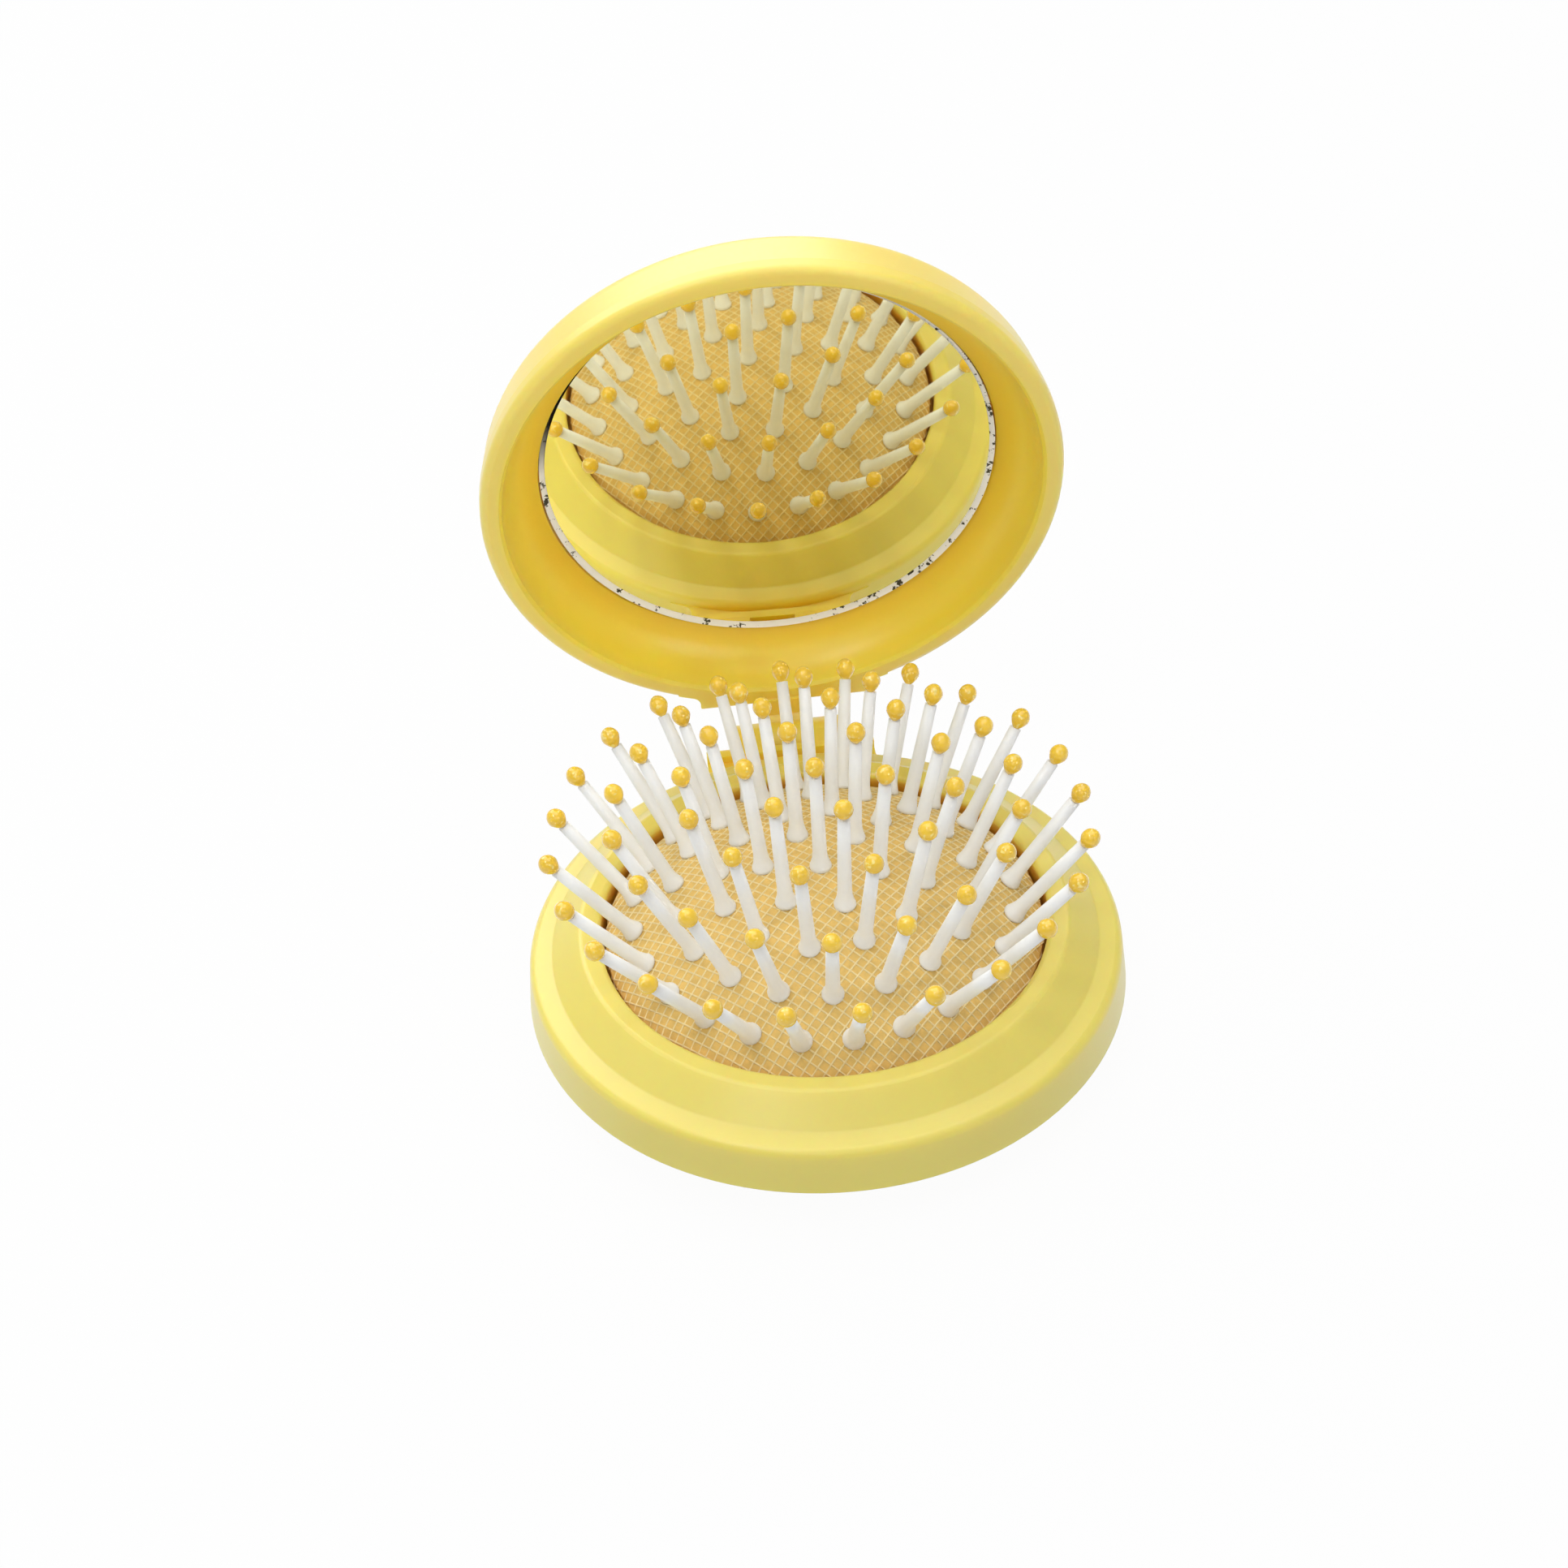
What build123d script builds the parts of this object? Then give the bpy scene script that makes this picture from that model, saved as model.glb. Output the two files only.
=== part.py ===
from build123d import *
import os
from math import asin, cos, radians, sin, sqrt, tan

# A round pocket hairbrush.  A ring-shaped base carries a springy domed pad with nylon pins.
# A push button under the pad pops it up for use.  A lid with a mirror folds over the pins.
# Millimetres, +Z up.  The origin is the centre of the flat face that the brush stands on,
# the hinge is at the back (+Y), and the lid stands open as when the mirror is in use.

# ---- base ring ----
foot_radius = 35.9  # outer wall at its foot
wall_draft = 0.6  # the wall leans in by this much up to the rim band
back_depth = 5.3  # the rounded back hangs this far below the wall's foot
wall_height = 5.6  # foot to rim band
wall = 1.8  # moulding thickness
band_width = 2.7  # flat rim band that the lid's edge comes down on
band_rise = 0.6
collar_width = 3.6  # sloped collar that the lid slips over
collar_rise = 2.9
lip_width = 2.4  # rounded lip, which slopes in to the mouth that the pad stands in
seat_depth = 5.2  # lip's crest down to the seat of the pad's flange

# ---- back cover ----
cover_step = 1.1  # the cover is smaller than the wall's foot, which leaves a shadow line
dish_width = 8.8  # rounded edge round the flat ring that the brush stands on
cover_wall = 1.6
spigot_height = 2.2  # ring that locates the cover in the base's wall
spigot_width = 1.4
spigot_clearance = 0.05
rib_count = 8
rib_thickness = 1.4
rib_length = 2.6

# ---- domed pad ----
dome_height = 8.23  # rise of the dome from its edge to its top
dome_rise = 7.1  # the dome's top stands this far over the lip
dome_margin = 0.5  # the dome ends this far inside the pad's edge
pad_gap = 0.8  # free ring between the pad and the lip
pad_thickness = 1.0
facing_thickness = 0.25  # woven facing bonded to the rubber
facing_wrap = 1.5  # the facing turns down over the pad's edge by this much
shoulder_drop = 0.8  # sloped shoulder between the dome and the skirt
flange_width = 4.2
flange_thickness = 1.1
clamp_thickness = 1.2  # ring that clamps the pad's flange
clamp_clearance = 0.3  # the clamp's hole round the pad's mouth

# ---- push button ----
button_radius = 11.5
button_gap = 0.8  # free ring round the button in the back cover
button_thickness = 0.95
thumb_dish = 0.35
plate_thickness = 0.6
plate_clearance = 0.25  # top of the plate to the mirror of the shut lid

# ---- pins ----
pins_in_ring = (1, 6, 12, 18, 24)
outer_ring_margin = 3.4  # roots of the outermost ring to the pad's edge
ring_share = (0.0, 0.304, 0.540, 0.786, 1.0)  # radius of each ring, as a share of the outermost
pin_lean = (0.0, 4.8, 14.0, 23.8, 35.7)  # degrees outwards from upright
first_pin_angle = (0.0, -42.9, -73.2, -83.0, -88.2)  # degrees from the front, towards +X
pin_length = 13.9
foot_pin_radius = 1.3
shaft_radius = 0.8
foot_height = 1.1
ball_radius = 1.14
pin_seat = 0.05  # clearance of a pin's foot over the facing

# ---- lid and mirror ----
lid_opening = 78.7  # degrees that the lid stands open
lid_inset = 0.4  # the lid's rim lies inside the foot of the base's wall
lid_draft = 0.8  # the lid's wall leans in by this much
lid_wall_height = 7.2  # rim to the sloped shoulder
lid_rim_gap = 0.3  # closed lid's edge over the rim band
collar_clearance = 0.3  # the lid's mouth round the base's collar
lid_depth = 7.05  # rim to mirror face
lid_roof = 1.9
lid_crown = 0.7  # rise of the roof's middle
roof_slope = 3.4  # how far the sloped shoulder runs in to the roof
bowl_width = 4.8  # the lid's mouth to the mirror
bowl_hollow = 0.9  # the bowl's wall curves back by this much
mouth_edge = 0.4  # eased inner edge of the lid's mouth
mirror_thickness = 1.8
mirror_bevel = 0.7
mirror_gap = 0.15
tape_thickness = 0.2
mirror_frame_width = 1.2  # sloped ring that frames the mirror, which lies deeper than its edge
mirror_frame_height = 0.9
lug_half_width = 11.0
lug_stand = 0.2  # the lug stands this far behind the lid's rim
lug_height = 4.4
lug_flare = 1.4  # hollow corner by which the lug and the boss run out into the round walls
lug_corner = 0.7  # their outer corners

# ---- hinge ----
hinge_drop = 2.0  # hinge axis under the top of the boss
slot_skin = 1.3  # the slot for the lid's knuckle leaves this much on the wall
knuckle_radius = 2.8
knuckle_clearance = 0.4  # the lid's knuckle to the wall in front of it
heel_reach = 2.3  # the knuckle's flat heel meets the wall and stops the lid when it is open
heel_gap = 0.25
lid_knuckle_half = 2.8
base_knuckle_outer = 7.25
knuckle_gap = 0.3
hinge_pin_radius = 0.8
pin_running_clearance = 0.05
boss_rise = 0.1  # top of the boss over the top of the wall
boss_gap = 0.35  # the shut lid's lug to the boss
boss_set_back = 2.2  # the boss ends this far in front of the hinge axis

os.makedirs("parts", exist_ok=True)


def save(piece, label):
    """Name one finished piece and write its file."""
    piece.part.label = label
    export_step(piece.part, f"parts/{label}.step")


# Heights and radii that follow from the sizes above.
foot_z = back_depth
wall_top_z = foot_z + wall_height
wall_top_radius = foot_radius - wall_draft
crease_radius = wall_top_radius - band_width
crease_z = wall_top_z + band_rise
crest_radius = crease_radius - collar_width
crest_z = crease_z + collar_rise
mouth_radius = crest_radius - lip_width
pad_radius = mouth_radius - pad_gap
dome_edge = pad_radius - dome_margin
dome_top = crest_z + dome_rise
dome_radius = (dome_edge**2 + dome_height**2) / (2 * dome_height)
dome_centre_z = dome_top - dome_radius
clamp_seat_z = crest_z - seat_depth
flange_z = clamp_seat_z - flange_thickness
clamp_z = flange_z - clamp_thickness
wall_inner_radius = foot_radius - wall
clamp_inner = mouth_radius + clamp_clearance
lid_rim_radius = foot_radius - lid_inset
lid_top_radius = lid_rim_radius - lid_draft
lid_mouth_radius = crease_radius + collar_clearance
mirror_radius = lid_mouth_radius - bowl_width
outer_root = pad_radius - outer_ring_margin
root_radius = [outer_root * share for share in ring_share]
lug_reach = lid_rim_radius + lug_stand
slot_front = foot_radius + slot_skin
hinge_back = slot_front + knuckle_clearance + knuckle_radius
boss_height = wall_top_z + boss_rise
lid_rim_z = crease_z + lid_rim_gap
mirror_face_z = lid_rim_z + lid_depth
hinge_height = boss_height - hinge_drop


def dome_z(radius, inset=0.0):
    """Height of the dome, or of a face lying inset below it, at a radius."""
    return dome_centre_z + sqrt((dome_radius - inset) ** 2 - radius**2)


def corner(section, radius, height):
    """The corner of a section drawn on radius and height that lies nearest to a point."""
    return section.vertices().sort_by_distance((radius, height))[0]


def flare(plan, round_radius, reach):
    """Ease the corners of a block that stands out of a round wall, seen in plan."""
    side = sqrt(round_radius**2 - lug_half_width**2)
    for half in (-lug_half_width, lug_half_width):
        fillet(corner(plan, half, side), lug_flare)
        fillet(corner(plan, half, reach), lug_corner)


# ---- base shell: revolved wall, rim band, collar and lip, with the hinge boss at the back ----
boss_front = lug_reach + boss_gap
boss_start = mouth_radius
boss_back = hinge_back - boss_set_back
arm_inner = lid_knuckle_half + knuckle_gap
with BuildPart() as base_shell:
    # Hinge boss: a block behind the wall, sloped underneath so that it moulds without a mark.
    with BuildSketch(Plane.YZ) as boss_section:
        with BuildLine():
            Polyline(
                (boss_start, foot_z + 1.0),
                (foot_radius, foot_z + 1.0),
                (boss_back, foot_z + 2.6),
                (boss_back, boss_height),
                (boss_front, boss_height),
                (boss_front, wall_top_z - 1.0),
                (boss_start, wall_top_z - 1.0),
                close=True,
            )
        make_face()
        fillet(corner(boss_section, boss_back, boss_height), 1.2)
    extrude(amount=lug_half_width + 2 * lug_flare, both=True)
    with BuildSketch(Plane.XY.offset(foot_z)) as boss_plan:
        Circle(foot_radius - 0.3)
        Rectangle(2 * lug_half_width, boss_back, align=(Align.CENTER, Align.MIN))
        flare(boss_plan, foot_radius - 0.3, boss_back)
    extrude(amount=boss_height, mode=Mode.INTERSECT)
    # Two hinge arms run back from the boss and round the axis.
    with BuildSketch(Plane.YZ) as arm_section:
        with Locations((hinge_back, hinge_height)):
            Circle(knuckle_radius)
        with BuildLine():
            Polyline(
                (boss_start, foot_z + 1.0),
                (foot_radius, foot_z + 1.0),
                (hinge_back + 1.2, hinge_height - knuckle_radius + 0.3),
                (hinge_back, hinge_height + knuckle_radius),
                (boss_front + 0.8, boss_height),
                (boss_front, wall_top_z - 1.0),
                (boss_start, wall_top_z - 1.0),
                close=True,
            )
        make_face()
    extrude(amount=base_knuckle_outer, both=True)
    with BuildSketch(Plane.XY.offset(foot_z)):
        Circle(wall_inner_radius)
    extrude(amount=wall_height, mode=Mode.SUBTRACT)
    with BuildSketch(Plane.XZ) as ring_section:
        with BuildLine():
            Polyline(
                (foot_radius, foot_z),
                (wall_top_radius, wall_top_z),
                (crease_radius, crease_z),
                (crest_radius, crest_z),
                (mouth_radius, crest_z - 0.1),
                (mouth_radius, clamp_seat_z),
                (mouth_radius + wall, clamp_seat_z),
                (mouth_radius + wall, crest_z - wall),
                (crease_radius - 0.8, crease_z - wall),
                (wall_inner_radius, wall_top_z - wall),
                (wall_inner_radius, foot_z),
                close=True,
            )
        make_face()
        fillet(corner(ring_section, wall_top_radius, wall_top_z), 1.2)
        fillet(corner(ring_section, crease_radius, crease_z), 0.6)
        fillet(corner(ring_section, crest_radius, crest_z), 0.9)
        fillet(corner(ring_section, mouth_radius, crest_z), 0.7)
    revolve(axis=Axis.Z)
    # The slot between the arms, in which the lid's knuckle turns.
    with BuildSketch(Plane.YZ.offset(-arm_inner)):
        with Locations((slot_front, foot_z)):
            Rectangle(2 * knuckle_radius + 4, 20, align=(Align.MIN, Align.MIN))
    extrude(amount=2 * arm_inner, mode=Mode.SUBTRACT)
    with BuildSketch(Plane.YZ.offset(-base_knuckle_outer)):
        with Locations((hinge_back, hinge_height)):
            Circle(hinge_pin_radius)
    extrude(amount=2 * base_knuckle_outer, mode=Mode.SUBTRACT)
    save(base_shell, "base_shell")

# ---- back cover: a shallow dish that closes the base, with ribs under the clamp ring ----
cover_radius = foot_radius - cover_step
rest_radius = cover_radius - dish_width
edge_rise = foot_z - 0.1
back_arc_radius = ((cover_radius - rest_radius) ** 2 + edge_rise**2) / (2 * edge_rise)
arc_middle = (cover_radius + rest_radius) / 2 + 1.0
arc_middle_z = back_arc_radius - sqrt(back_arc_radius**2 - (arc_middle - rest_radius) ** 2)
inner_arc_radius = back_arc_radius - cover_wall
inner_end = rest_radius + sqrt(inner_arc_radius**2 - (back_arc_radius - edge_rise) ** 2)
inner_middle = (inner_end + rest_radius) / 2 + 1.0
inner_middle_z = back_arc_radius - sqrt(inner_arc_radius**2 - (inner_middle - rest_radius) ** 2)
spigot_outer = wall_inner_radius - spigot_clearance
spigot_inner = spigot_outer - spigot_width
button_hole = button_radius + button_gap
with BuildPart() as back_cover:
    with BuildSketch(Plane.XZ) as cover_section:
        with BuildLine():
            hole_edge = Line((button_hole, cover_wall), (button_hole, 0))
            rest_ring = Line(hole_edge @ 1, (rest_radius, 0))
            back_curve = ThreePointArc(
                rest_ring @ 1, (arc_middle, arc_middle_z), (cover_radius, edge_rise)
            )
            Polyline(
                back_curve @ 1,
                (spigot_outer, edge_rise),
                (spigot_outer, edge_rise + spigot_height),
                (spigot_inner, edge_rise + spigot_height),
                (spigot_inner, edge_rise),
                (inner_end, edge_rise),
            )
            ThreePointArc(
                (inner_end, edge_rise), (inner_middle, inner_middle_z), (rest_radius, cover_wall)
            )
            Line((rest_radius, cover_wall), hole_edge @ 0)
        make_face()
        fillet(corner(cover_section, button_hole, 0), 0.5)
    revolve(axis=Axis.Z)
    # Ribs stand on the floor and hold the clamp ring up against the base shell.
    with BuildSketch(Plane.XY.offset(cover_wall)):
        with PolarLocations(clamp_inner + rib_length / 2, rib_count, 180 / rib_count):
            Rectangle(rib_length, rib_thickness)
    extrude(amount=clamp_z - cover_wall)
    save(back_cover, "back_cover")

# ---- clamp ring: holds the pad's flange against the base shell ----
clamp_outer = crease_radius - wall
with BuildPart() as clamp_ring:
    with BuildSketch(Plane.XY.offset(clamp_z)):
        Circle(clamp_outer)
        Circle(clamp_inner, mode=Mode.SUBTRACT)
    extrude(amount=clamp_thickness)
    top_edges = clamp_ring.edges().filter_by(GeomType.CIRCLE).group_by(Axis.Z)[-1]
    chamfer(top_edges.sort_by(SortBy.RADIUS)[-1], 0.4)
    save(clamp_ring, "clamp_ring")

# ---- domed rubber pad with a skirt and a clamped flange, and the woven facing on it ----
flange_outer = pad_radius + flange_width
skirt_inner = pad_radius - pad_thickness
inner_dome = facing_thickness + pad_thickness
shoulder_z = dome_z(dome_edge, facing_thickness)
with BuildPart() as cushion_pad:
    with BuildSketch(Plane.XZ) as pad_section:
        with BuildLine():
            crown = ThreePointArc(
                (0, dome_z(0, facing_thickness)),
                (dome_edge / 2, dome_z(dome_edge / 2, facing_thickness)),
                (dome_edge, shoulder_z),
            )
            Polyline(
                crown @ 1,
                (pad_radius, shoulder_z - shoulder_drop),
                (pad_radius, clamp_seat_z),
                (flange_outer, clamp_seat_z),
                (flange_outer, flange_z),
                (skirt_inner, flange_z),
                (skirt_inner, dome_z(skirt_inner, inner_dome)),
            )
            ThreePointArc(
                (skirt_inner, dome_z(skirt_inner, inner_dome)),
                (skirt_inner / 2, dome_z(skirt_inner / 2, inner_dome)),
                (0, dome_z(0, inner_dome)),
            )
            Line((0, dome_z(0, inner_dome)), crown @ 0)
        make_face()
    revolve(axis=Axis.Z)
    save(cushion_pad, "cushion_pad")

wrap_radius = pad_radius + facing_thickness
with BuildPart() as pad_facing:
    with BuildSketch(Plane.XZ) as facing_section:
        with BuildLine():
            face_arc = ThreePointArc(
                (0, dome_top),
                (dome_edge / 2, dome_z(dome_edge / 2)),
                (dome_edge, dome_z(dome_edge)),
            )
            Polyline(
                face_arc @ 1,
                (wrap_radius, shoulder_z - shoulder_drop),
                (wrap_radius, shoulder_z - shoulder_drop - facing_wrap),
                (pad_radius, shoulder_z - shoulder_drop - facing_wrap),
                (pad_radius, shoulder_z - shoulder_drop),
                (dome_edge, shoulder_z),
            )
            ThreePointArc(
                (dome_edge, shoulder_z),
                (dome_edge / 2, dome_z(dome_edge / 2, facing_thickness)),
                (0, dome_z(0, facing_thickness)),
            )
            Line((0, dome_z(0, facing_thickness)), face_arc @ 0)
        make_face()
        fillet(corner(facing_section, wrap_radius, shoulder_z - shoulder_drop), 0.6)
    revolve(axis=Axis.Z)
    save(pad_facing, "pad_facing")

# ---- push button: a dished cap, and the plate that it snaps to under the pad ----
plate_radius = button_radius - 1.0
plate_z = mirror_face_z - plate_clearance - plate_thickness
button_face_z = plate_z - button_thickness
dish_radius = button_radius - 1.5
dish_sphere = (dish_radius**2 + thumb_dish**2) / (2 * thumb_dish)
with BuildPart() as button_plate:
    with BuildSketch(Plane.XY.offset(plate_z)):
        Circle(plate_radius)
    extrude(amount=plate_thickness)
    fillet(button_plate.edges().group_by(Axis.Z)[-1], 0.3)
    save(button_plate, "button_plate")

with BuildPart() as push_button:
    with BuildSketch(Plane.XY.offset(button_face_z)):
        Circle(button_radius)
    extrude(amount=button_thickness)
    fillet(push_button.edges().group_by(Axis.Z)[0], 0.5)
    with Locations((0, 0, button_face_z + thumb_dish - dish_sphere)):
        Sphere(dish_sphere, mode=Mode.SUBTRACT)
    save(push_button, "push_button")

# ---- pins: nylon shafts with flared feet, each with a ball dipped on its flat tip ----
with BuildPart() as shaft:
    Cylinder(shaft_radius, pin_length, align=(Align.CENTER, Align.CENTER, Align.MIN))
    Cone(foot_pin_radius, shaft_radius, foot_height, align=(Align.CENTER, Align.CENTER, Align.MIN))

ball_centre = pin_length + sqrt(ball_radius**2 - shaft_radius**2)
with BuildPart() as ball:
    with Locations((0, 0, ball_centre)):
        Sphere(ball_radius)
    split(bisect_by=Plane.XY.offset(pin_length), keep=Keep.TOP)


def ring_places(ring):
    """The planes on which the pins of one ring stand, square to each pin."""
    count = pins_in_ring[ring]
    lean = radians(pin_lean[ring])
    tilt = abs(lean - asin(root_radius[ring] / dome_radius))  # pin against the dome's normal
    seat = pin_seat + foot_pin_radius * tan(tilt)
    places = []
    for number in range(count):
        angle = radians(first_pin_angle[ring] + 360 * number / count)
        outwards = Vector(sin(angle), -cos(angle), 0)
        upright = Vector(0, 0, 1)
        along = outwards * sin(lean) + upright * cos(lean)
        foot = outwards * root_radius[ring] + upright * dome_z(root_radius[ring])
        sideways = Vector(cos(angle), sin(angle), 0)
        places.append(Plane(origin=foot + along * seat, x_dir=sideways, z_dir=along))
    return places


for ring, count in enumerate(pins_in_ring):
    with BuildPart() as ring_pins:
        with Locations(*ring_places(ring)):
            add(shaft.part)
        save(ring_pins, f"pins_ring_{ring}")
    with BuildPart() as ring_balls:
        with Locations(*ring_places(ring)):
            add(ball.part)
        save(ring_balls, f"ball_tips_ring_{ring}")

# ---- lid, drawn as if closed in a frame that is turned open about the hinge ----
turn = radians(lid_opening)
lid_up = Vector(0, sin(turn), cos(turn))
lid_back = Vector(0, cos(turn), -sin(turn))
hinge_point = Vector(0, hinge_back, hinge_height)
lid_origin = hinge_point - lid_back * hinge_back - lid_up * hinge_height
lid_frame = Plane(origin=lid_origin, x_dir=(1, 0, 0), z_dir=lid_up)
lid_round = Plane(origin=lid_origin, x_dir=(1, 0, 0), z_dir=lid_back * -1)
lid_side = Plane(origin=lid_origin, x_dir=lid_back, z_dir=(1, 0, 0))
lid_axis = Axis(lid_origin, lid_up)

mirror_back_z = mirror_face_z + mirror_thickness
pocket_z = mirror_back_z + tape_thickness
roof_z = pocket_z + lid_roof - lid_crown
roof_radius = lid_top_radius - roof_slope
pocket_radius = mirror_radius + mirror_gap
frame_radius = pocket_radius + mirror_frame_width
frame_z = mirror_face_z - mirror_frame_height
web_z = boss_height + boss_gap
bowl_run = lid_mouth_radius - frame_radius
bowl_rise = frame_z - lid_rim_z - mouth_edge
bowl_share = bowl_hollow / sqrt(bowl_run**2 + bowl_rise**2)
bowl_middle = (
    frame_radius + bowl_run / 2 + bowl_share * bowl_rise,
    frame_z - bowl_rise / 2 + bowl_share * bowl_run,
)
with BuildPart() as lid_shell:
    # The lug behind the rim, which meets the boss of the base when the lid is shut.
    with BuildSketch(lid_side) as lug_section:
        with BuildLine():
            Polyline(
                (lid_mouth_radius - 3, lid_rim_z),
                (lug_reach, lid_rim_z),
                (lug_reach, lid_rim_z + lug_height),
                (lid_mouth_radius - 3, lid_rim_z + lug_height),
                close=True,
            )
        make_face()
        fillet(corner(lug_section, lug_reach, lid_rim_z), 0.6)
        fillet(corner(lug_section, lug_reach, lid_rim_z + lug_height), 1.2)
    extrude(amount=lug_half_width + 2 * lug_flare, both=True)
    with BuildSketch(lid_frame.offset(lid_rim_z)) as lug_plan:
        Circle(lid_rim_radius - 0.3)
        Rectangle(2 * lug_half_width, lug_reach, align=(Align.CENTER, Align.MIN))
        flare(lug_plan, lid_rim_radius - 0.3, lug_reach)
    extrude(amount=lug_height, mode=Mode.INTERSECT)
    # The middle knuckle and the web that carries it.
    with BuildSketch(lid_side) as knuckle_section:
        with Locations((hinge_back, hinge_height)):
            Circle(knuckle_radius)
        with BuildLine():
            Polyline(
                (lug_reach - 1.0, web_z),
                (slot_front + boss_gap, web_z),
                (hinge_back, hinge_height - knuckle_radius + 0.3),
                (hinge_back + 1.0, hinge_height + knuckle_radius - 0.4),
                (lug_reach - 1.0, lid_rim_z + lug_height),
                close=True,
            )
        make_face()
        with Locations(Location((hinge_back, hinge_height, 0), (0, 0, lid_opening - 90))):
            Rectangle(heel_reach, knuckle_radius + heel_gap, align=(Align.MIN, Align.MAX))
    extrude(amount=lid_knuckle_half, both=True)
    with BuildSketch(lid_side.offset(-lid_knuckle_half)):
        with Locations((hinge_back, hinge_height)):
            Circle(hinge_pin_radius + pin_running_clearance)
    extrude(amount=2 * lid_knuckle_half, mode=Mode.SUBTRACT)
    # Nothing of the lug stays inside the lid's wall.
    with BuildSketch(lid_frame.offset(lid_rim_z - 1)):
        Circle((lid_mouth_radius + lid_rim_radius) / 2)
    extrude(amount=lug_height + 2, mode=Mode.SUBTRACT)
    # The shell: a domed roof and wall outside, and inside a concave bowl down to the low ring
    # that frames the mirror's pocket.
    with BuildSketch(lid_round) as lid_section:
        with BuildLine():
            Polyline(
                (0, roof_z + lid_crown),
                (0, pocket_z),
                (pocket_radius, pocket_z),
                (pocket_radius, mirror_face_z - 0.1),
                (frame_radius, frame_z),
            )
            ThreePointArc(
                (frame_radius, frame_z),
                bowl_middle,
                (lid_mouth_radius, lid_rim_z + mouth_edge),
            )
            Polyline(
                (lid_mouth_radius, lid_rim_z + mouth_edge),
                (lid_mouth_radius + mouth_edge, lid_rim_z),
                (lid_rim_radius, lid_rim_z),
                (lid_rim_radius, lid_rim_z + 2.0),
                (lid_top_radius, lid_rim_z + lid_wall_height),
                (roof_radius, roof_z),
            )
            ThreePointArc(
                (roof_radius, roof_z),
                (roof_radius / 2, roof_z + 0.75 * lid_crown),
                (0, roof_z + lid_crown),
            )
        make_face()
        fillet(corner(lid_section, lid_rim_radius, lid_rim_z), 0.9)
        fillet(corner(lid_section, lid_top_radius, lid_rim_z + lid_wall_height), 3.0)
    revolve(axis=lid_axis)
    roof_edges = lid_shell.edges().filter_by(GeomType.CIRCLE)
    fillet(roof_edges.filter_by(lambda edge: abs(edge.radius - roof_radius) < 0.01), 2.2)
    save(lid_shell, "lid_shell")

# ---- mirror: bevelled glass on a disc of foam tape ----
with BuildPart() as mirror_glass:
    with BuildSketch(lid_frame.offset(mirror_face_z)):
        Circle(mirror_radius)
    extrude(amount=mirror_thickness)
    chamfer(mirror_glass.edges().sort_by(lid_axis)[0], 0.35, mirror_bevel)
    save(mirror_glass, "mirror_glass")

with BuildPart() as mirror_tape:
    with BuildSketch(lid_frame.offset(mirror_back_z)):
        Circle(mirror_radius - 2.0)
    extrude(amount=tape_thickness)
    save(mirror_tape, "mirror_tape")

# ---- steel pin through the three knuckles ----
with BuildPart() as hinge_pin:
    with BuildSketch(Plane.YZ.offset(-base_knuckle_outer + 0.1)):
        with Locations((hinge_back, hinge_height)):
            Circle(hinge_pin_radius)
    extrude(amount=2 * base_knuckle_outer - 0.2)
    chamfer(hinge_pin.edges().filter_by(GeomType.CIRCLE), 0.15)
    save(hinge_pin, "hinge_pin")
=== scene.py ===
import math
import random

import bpy
from mathutils import Matrix, Vector


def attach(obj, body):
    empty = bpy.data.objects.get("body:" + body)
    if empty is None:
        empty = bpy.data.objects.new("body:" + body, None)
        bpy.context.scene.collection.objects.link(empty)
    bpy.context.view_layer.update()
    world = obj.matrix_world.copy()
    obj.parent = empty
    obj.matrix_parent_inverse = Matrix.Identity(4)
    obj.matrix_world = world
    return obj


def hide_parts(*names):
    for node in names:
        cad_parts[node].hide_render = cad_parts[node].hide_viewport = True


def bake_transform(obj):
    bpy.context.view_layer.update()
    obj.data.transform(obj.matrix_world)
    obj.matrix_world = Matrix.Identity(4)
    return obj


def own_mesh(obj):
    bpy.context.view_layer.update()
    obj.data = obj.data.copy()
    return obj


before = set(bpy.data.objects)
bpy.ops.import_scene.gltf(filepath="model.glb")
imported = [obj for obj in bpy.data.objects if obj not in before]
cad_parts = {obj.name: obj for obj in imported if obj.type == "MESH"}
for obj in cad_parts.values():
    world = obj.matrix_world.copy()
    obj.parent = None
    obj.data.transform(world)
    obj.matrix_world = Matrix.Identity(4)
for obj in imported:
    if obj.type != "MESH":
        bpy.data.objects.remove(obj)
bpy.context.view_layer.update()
mm = 0.001

# what every pin and the cushion share with the moulded base
brush = {
    "domeRadius": 43.0 * mm,
    "domeTop": 21.5 * mm,
    "domeEdge": 25.3 * mm,      # the dome turns over into its shoulder here
    "shoulderRun": 0.75 * mm,
    "shoulderDrop": 0.8 * mm,
    "shoulderFacing": (0.75, 0.66),     # outwards and upwards
    "pinsInRing": (1, 6, 12, 18, 24),
    "rootRadius": (0.0, 6.8 * mm, 12.1 * mm, 17.6 * mm, 22.4 * mm),
    "pinLean": (0.0, 4.8, 14.0, 23.8, 35.7),      # degrees outwards from upright
    "firstPin": (0.0, -42.9, -73.2, -83.0, -88.2),  # degrees from the front, towards +X
    "pinLength": 13.9 * mm,
    "bendsFrom": 11.9 * mm,     # the cushion stays still below this height
}

# where the lid stands when it is open
lid = {
    "hinge": (0, 40.4 * mm, 9.0 * mm),
    "opening": 78.7,            # degrees
    "mirrorFace": 18.85 * mm,   # height over the table when the lid is shut
    "mirrorRadius": 28.1 * mm,
    "mirrorDepth": 1.8 * mm,
}

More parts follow.
